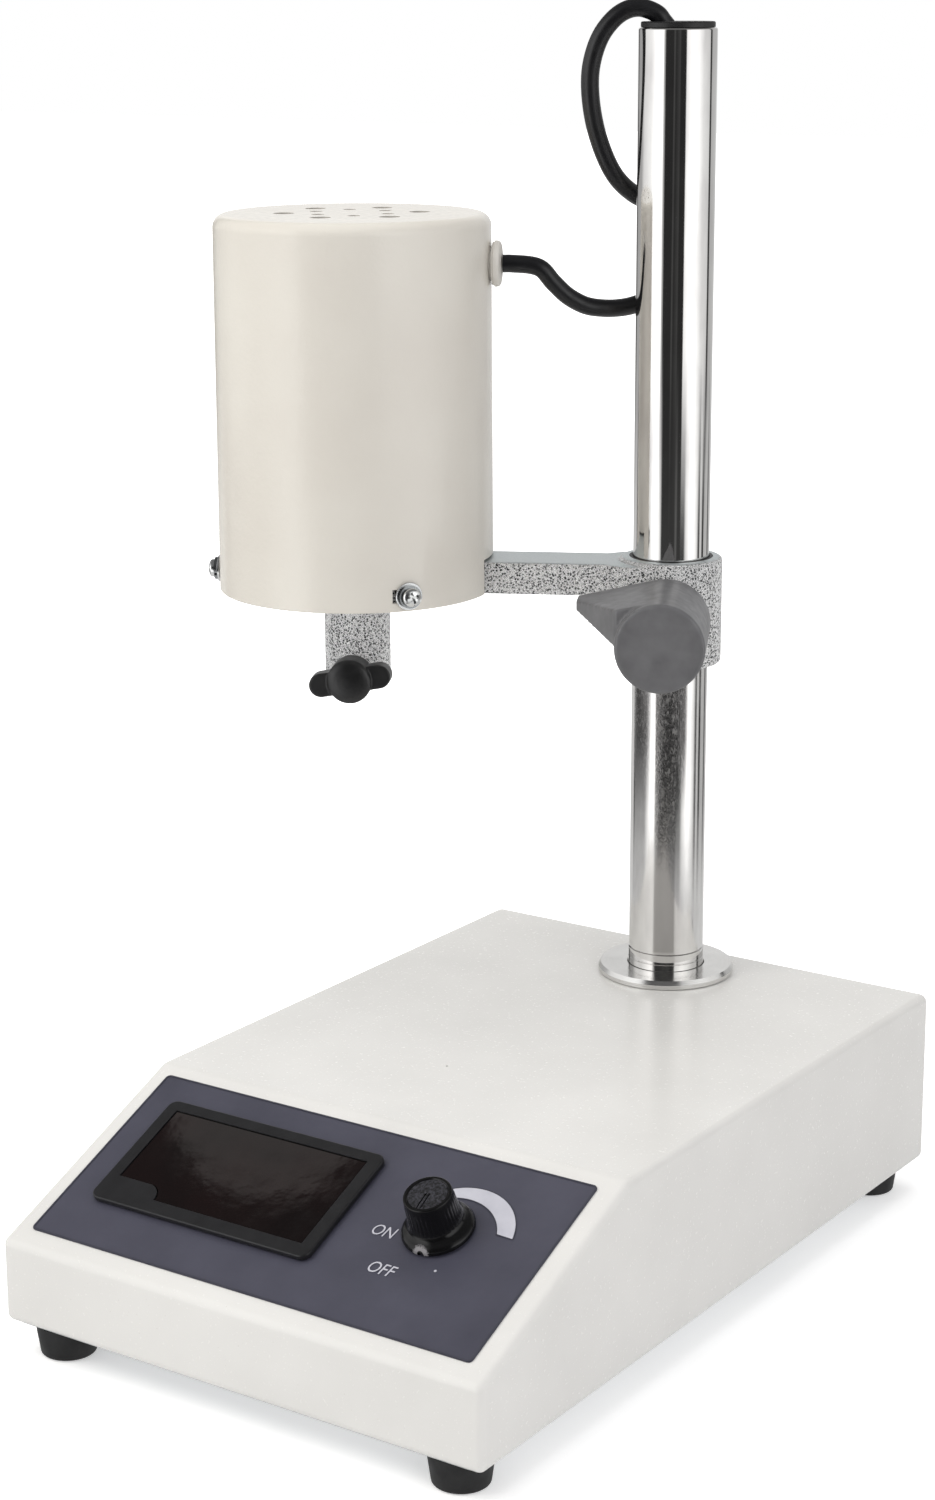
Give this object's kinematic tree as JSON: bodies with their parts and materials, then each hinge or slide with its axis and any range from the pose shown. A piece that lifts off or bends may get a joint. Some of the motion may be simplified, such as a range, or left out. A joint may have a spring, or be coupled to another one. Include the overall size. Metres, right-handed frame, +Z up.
{
  "type": "laboratory homogenizer",
  "caption": "Laboratory homogenizer: sloped control base with display and speed knob, chrome column, and a clamped motor head whose socket takes a dispersing tool.",
  "frame": {"origin": "under the middle of the instrument's extent, counted without the motor lead, level with the undersides of its feet", "axes": "+Z up along the column, +X to the right and -Y to the front, seen from the control panel"},
  "size_m": [0.2242, 0.273, 0.3892],
  "materials": {
    "case_paint": "off-white powder coat, fine orange peel",
    "cover_enamel": "warm ivory enamel, satin",
    "zinc_sheet": "zinc-plated sheet",
    "zinc_steel": "bright zinc plating",
    "ground_steel": "ground steel",
    "column_chrome": "polished hard chrome",
    "flange_chrome": "satin chrome with turned edges",
    "hammertone": "cast, silver hammertone paint",
    "aluminium_bare": "bare extruded and cast aluminium",
    "foot_rubber": "matte black",
    "lead_jacket": "smooth black cable jacket",
    "label_film": "slate printed film",
    "bezel_plastic": "black moulded frame",
    "window_smoke": "dark smoked red pane",
    "module_plastic": "black moulded case",
    "knob_gloss": "glossy black phenolic",
    "wing_plastic": "satin black moulding",
    "grip_plastic": "mid grey moulded grip, fine grain",
    "cap_plastic": "black moulded cap",
    "bush_nylon": "dark nylon",
    "grommet_plastic": "pale grey soft vinyl",
    "socket_plastic": "black moulded socket",
    "fan_plastic": "black moulded fan",
    "circuit_board": "green laminate",
    "lamination": "stacked electrical sheet",
    "copper_winding": "enamelled copper"
  },
  "bodies": {
    "base": {"base_shell": "case_paint", "base_plate": "zinc_sheet", "front_label": "label_film", "display_bezel": "bezel_plastic", "display_window": "window_smoke", "display_module": "module_plastic", "speed_potentiometer": "zinc_steel", "potentiometer_nut": "zinc_steel", "control_board": "circuit_board", "heat_sink": "aluminium_bare", "mains_inlet": "socket_plastic", "fuse_holder": "socket_plastic", "fuse_cap": "socket_plastic", "column_flange": "flange_chrome", "column": "column_chrome", "column_nut": "zinc_steel", "column_cap": "cap_plastic", "motor_lead": "lead_jacket", "foot_front_left": "foot_rubber", "foot_screw_front_left": "zinc_steel", "foot_front_right": "foot_rubber", "foot_screw_front_right": "zinc_steel", "foot_rear_left": "foot_rubber", "foot_screw_rear_left": "zinc_steel", "foot_rear_right": "foot_rubber", "foot_screw_rear_right": "zinc_steel"},
    "clamp_bush": {"clamp_bush": "bush_nylon"},
    "clamp_knob": {"clamp_knob": "grip_plastic", "clamp_stud": "zinc_steel"},
    "tool_screw": {"wing_knob": "wing_plastic", "wing_stud": "zinc_steel"},
    "rotor": {"armature": "lamination", "commutator": "copper_winding", "motor_shaft": "ground_steel", "drive_coupling": "ground_steel", "cooling_fan": "fan_plastic"},
    "speed_knob": {"speed_knob": "knob_gloss", "potentiometer_shaft": "aluminium_bare"},
    "head": {"bracket": "hammertone", "tool_boss": "hammertone", "motor_cover": "cover_enamel", "cable_grommet": "grommet_plastic", "stator_core": "lamination", "field_coil_1": "copper_winding", "field_coil_2": "copper_winding", "lower_bearing": "ground_steel", "upper_bearing": "ground_steel", "end_bracket": "aluminium_bare", "motor_bolt_1": "zinc_steel", "motor_bolt_2": "zinc_steel", "cover_screw_1": "zinc_steel", "spring_washer_1": "zinc_steel", "flat_washer_1": "zinc_steel", "cover_screw_2": "zinc_steel", "spring_washer_2": "zinc_steel", "flat_washer_2": "zinc_steel", "cover_screw_3": "zinc_steel", "spring_washer_3": "zinc_steel", "flat_washer_3": "zinc_steel"}
  },
  "joints": [
    {"name": "height_slide", "type": "slide", "parent": "base", "child": "clamp_bush", "axis": [0, 0, 1], "range_m": [-0.085, 0.15], "deforming": ["motor_lead"]},
    {"name": "head_swivel", "type": "hinge", "parent": "clamp_bush", "child": "head", "pos_m": [0.02657, 0.1017, 0.1943], "axis": [0, 0, 1], "range_deg": [-45, 125], "deforming": ["motor_lead"]},
    {"name": "clamp_knob_turn", "type": "hinge", "parent": "head", "child": "clamp_knob", "pos_m": [0.02657, 0.1017, 0.1943], "axis": [0.4617, -0.887, 0], "range_deg": [-15, 270]},
    {"name": "tool_screw_turn", "type": "hinge", "parent": "head", "child": "tool_screw", "pos_m": [-0.06612, 0.05345, 0.1723], "axis": [0.4617, -0.887, 0], "range_deg": [-15, 270]},
    {"name": "rotor_spin", "type": "hinge", "parent": "head", "child": "rotor", "pos_m": [-0.06612, 0.05345, 0.2103], "axis": [0, 0, 1], "continuous": true},
    {"name": "speed_knob_turn", "type": "hinge", "parent": "base", "child": "speed_knob", "pos_m": [0.06897, -0.09388, 0.05468], "axis": [0, 0.3975, -0.9176], "range_deg": [0, 290]}
  ]
}
